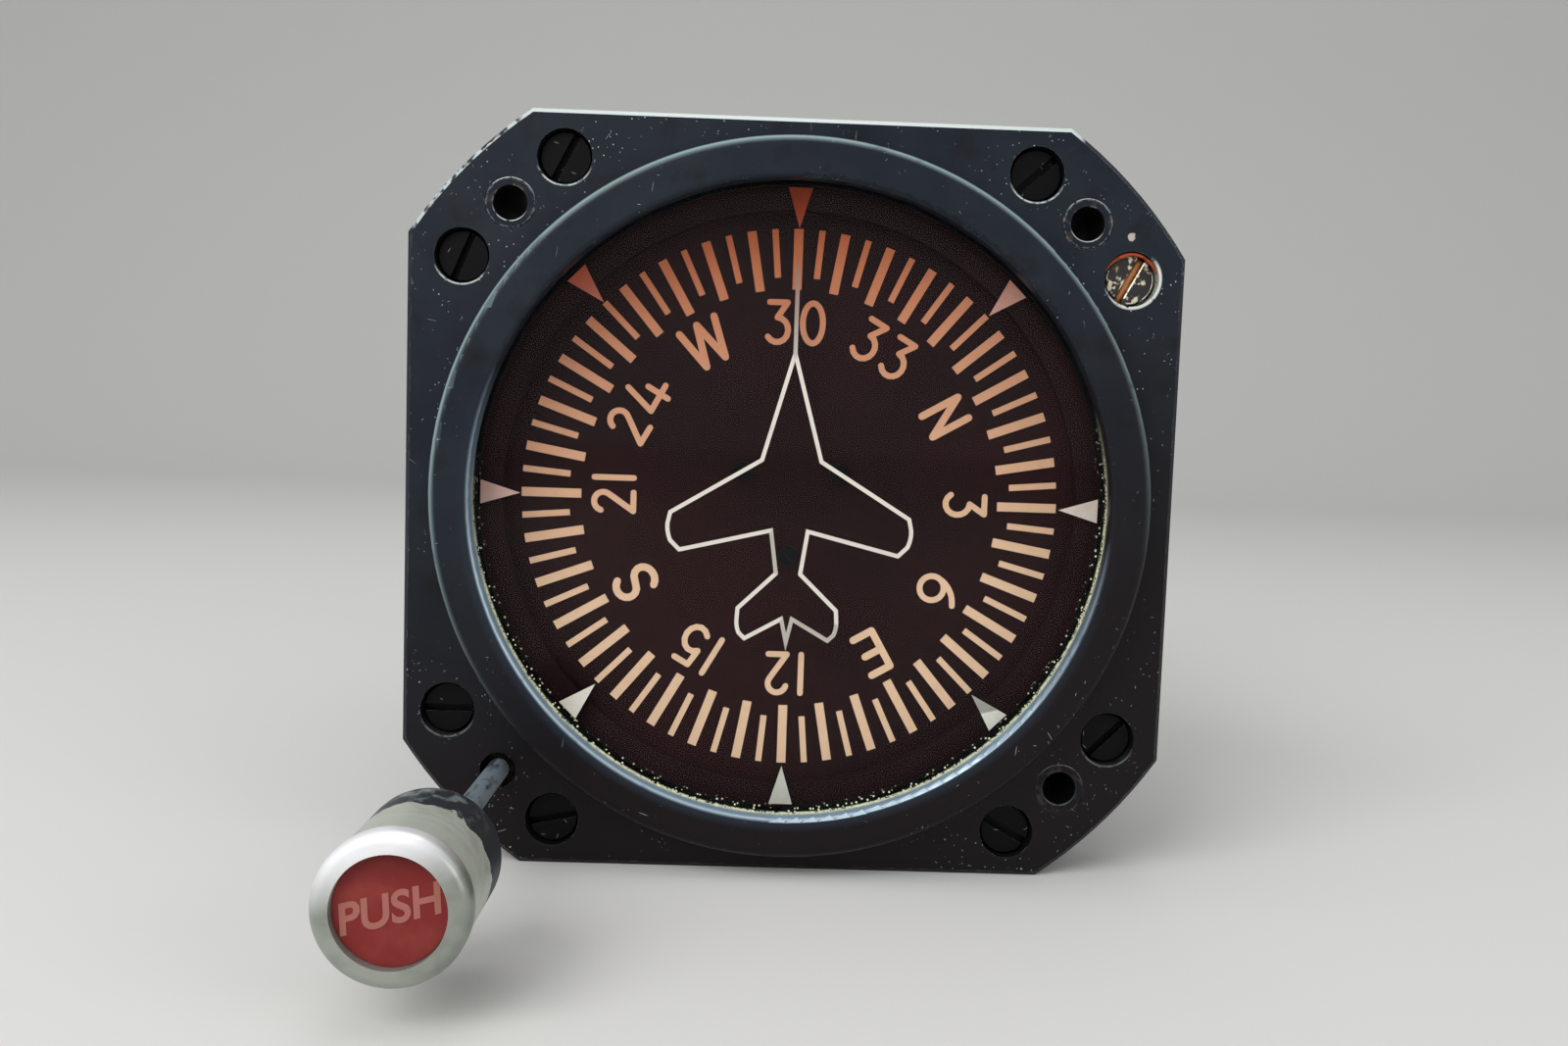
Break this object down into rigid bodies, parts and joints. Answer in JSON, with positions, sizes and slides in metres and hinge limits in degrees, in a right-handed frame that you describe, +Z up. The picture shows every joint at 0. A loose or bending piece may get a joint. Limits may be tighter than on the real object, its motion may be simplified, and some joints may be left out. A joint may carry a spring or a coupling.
{
  "type": "directional gyro indicator",
  "caption": "Panel instrument with a turning compass card behind glass, a caging knob on a long shaft, and a vacuum-driven gyro geared to the card.",
  "frame": {"origin": "centre of the flange's front face, on the dial axis", "axes": "-Y is the way the dial looks, +Z is up, +X is to the right as the dial is read"},
  "size_m": [0.085, 0.1444, 0.0834],
  "materials": {
    "slate_paint": "semi-gloss slate paint on a casting, scratched",
    "black_paint": "black wrinkle paint on a casting",
    "worn_steel": "plain steel, worn",
    "ground_steel": "ground",
    "shaft_steel": "turned, dulled",
    "plated_steel": "zinc plated, dull",
    "black_steel": "blackened steel",
    "sealed_steel": "bare, tarnished, with sealing lacquer",
    "brass": "cut and turned",
    "rotor_bronze": "turned",
    "cast_aluminium": "die cast",
    "plate_aluminium": "rolled sheet, blank",
    "black_anodised": "black anodised",
    "knob_aluminium": "turned, satin, black paint worn to the back",
    "knob_disc": "red-brown enamel",
    "card_black": "matt black lacquer on sheet",
    "card_print": "luminous peach-orange marking paint, aged",
    "cream_print": "cream marking paint",
    "glass": "plain, clear",
    "black_rubber": "moulded",
    "cork_gasket": "bonded cork and rubber sheet",
    "filter_felt": "felt"
  },
  "bodies": {
    "case": {"front_bezel": "slate_paint", "mount_bushings": "worn_steel", "cover_glass": "glass", "index_marks": "cream_print", "aeroplane_symbol": "cream_print", "glass_gasket": "black_rubber", "retainer_ring": "black_anodised", "card_bearings": "ground_steel", "gyro_frame": "cast_aluminium", "frame_screws": "plated_steel", "set_gear_stud": "ground_steel", "gimbal_bearings": "ground_steel", "shaft_bushing": "brass", "shaft_seal": "black_rubber", "lever_pin": "ground_steel", "case_body": "black_paint", "bezel_gasket": "cork_gasket", "bezel_screws": "black_steel", "sealed_screw": "sealed_steel", "rear_cover": "black_paint", "rear_gasket": "cork_gasket", "rear_screws": "plated_steel", "vacuum_port": "brass", "filter_element": "filter_felt", "filter_cap": "black_anodised", "filter_screw": "plated_steel", "data_plate": "plate_aluminium", "plate_rivets": "plate_aluminium"},
    "card": {"compass_card": "card_black", "card_markings": "card_print", "card_screws": "black_steel", "card_hub": "brass", "card_gear": "brass", "card_shaft": "ground_steel", "card_bevel_gear": "brass"},
    "set_gear": {"set_gear": "brass"},
    "outer_gimbal": {"outer_gimbal": "cast_aluminium", "gimbal_bevel_gear": "brass", "gimbal_pivots": "ground_steel", "tilt_bearings": "ground_steel", "air_jet": "brass"},
    "rotor_frame": {"rotor_frame": "cast_aluminium", "rotor_frame_pivots": "ground_steel", "rotor_bearings": "ground_steel", "balance_nuts": "brass"},
    "rotor": {"rotor": "rotor_bronze", "rotor_axle": "ground_steel"},
    "push_slide": {"spring_washer": "plated_steel", "return_spring": "ground_steel"},
    "knob": {"caging_knob": "knob_aluminium", "knob_face": "knob_disc", "knob_set_screw": "black_steel", "knob_shaft": "shaft_steel", "setting_pinion": "brass"},
    "caging_lever": {"caging_lever": "plated_steel"}
  },
  "joints": [
    {"name": "gimbal_yaw", "type": "hinge", "parent": "case", "child": "outer_gimbal", "pos_m": [0, 0.061, 0], "axis": [0, 0, 1], "continuous": true},
    {"name": "card_turn", "type": "hinge", "parent": "case", "child": "card", "pos_m": [0, 0, 0], "axis": [0, 1, 0], "continuous": true},
    {"name": "set_gear_turn", "type": "hinge", "parent": "case", "child": "set_gear", "pos_m": [-0.02506, 0.018, -0.02454], "axis": [0, 1, 0], "continuous": true},
    {"name": "frame_tilt", "type": "hinge", "parent": "outer_gimbal", "child": "rotor_frame", "pos_m": [0, 0.061, 0], "axis": [1, 0, 0], "range_deg": [-55, 55]},
    {"name": "rotor_spin", "type": "hinge", "parent": "rotor_frame", "child": "rotor", "pos_m": [0, 0.061, 0], "axis": [0, 1, 0], "continuous": true},
    {"name": "knob_push", "type": "slide", "parent": "case", "child": "push_slide", "axis": [0, 1, 0], "range_m": [0, 0.005], "stiffness_N_per_m": 300, "springref_m": -0.003, "deforming": ["return_spring"]},
    {"name": "knob_turn", "type": "hinge", "parent": "push_slide", "child": "knob", "pos_m": [-0.03176, 0, -0.0311], "axis": [0, 1, 0], "continuous": true},
    {"name": "lever_swing", "type": "hinge", "parent": "case", "child": "caging_lever", "pos_m": [-0.02501, 0.03, -0.02449], "axis": [0.6997, 0, -0.7145], "range_deg": [0, 30]}
  ],
  "couplings": [
    {"joint": "card_turn", "follows": "gimbal_yaw", "ratio": -1},
    {"joint": "set_gear_turn", "follows": "gimbal_yaw", "ratio": 5.1429},
    {"joint": "lever_swing", "follows": "knob_push", "rad_per_m": 104.71}
  ]
}
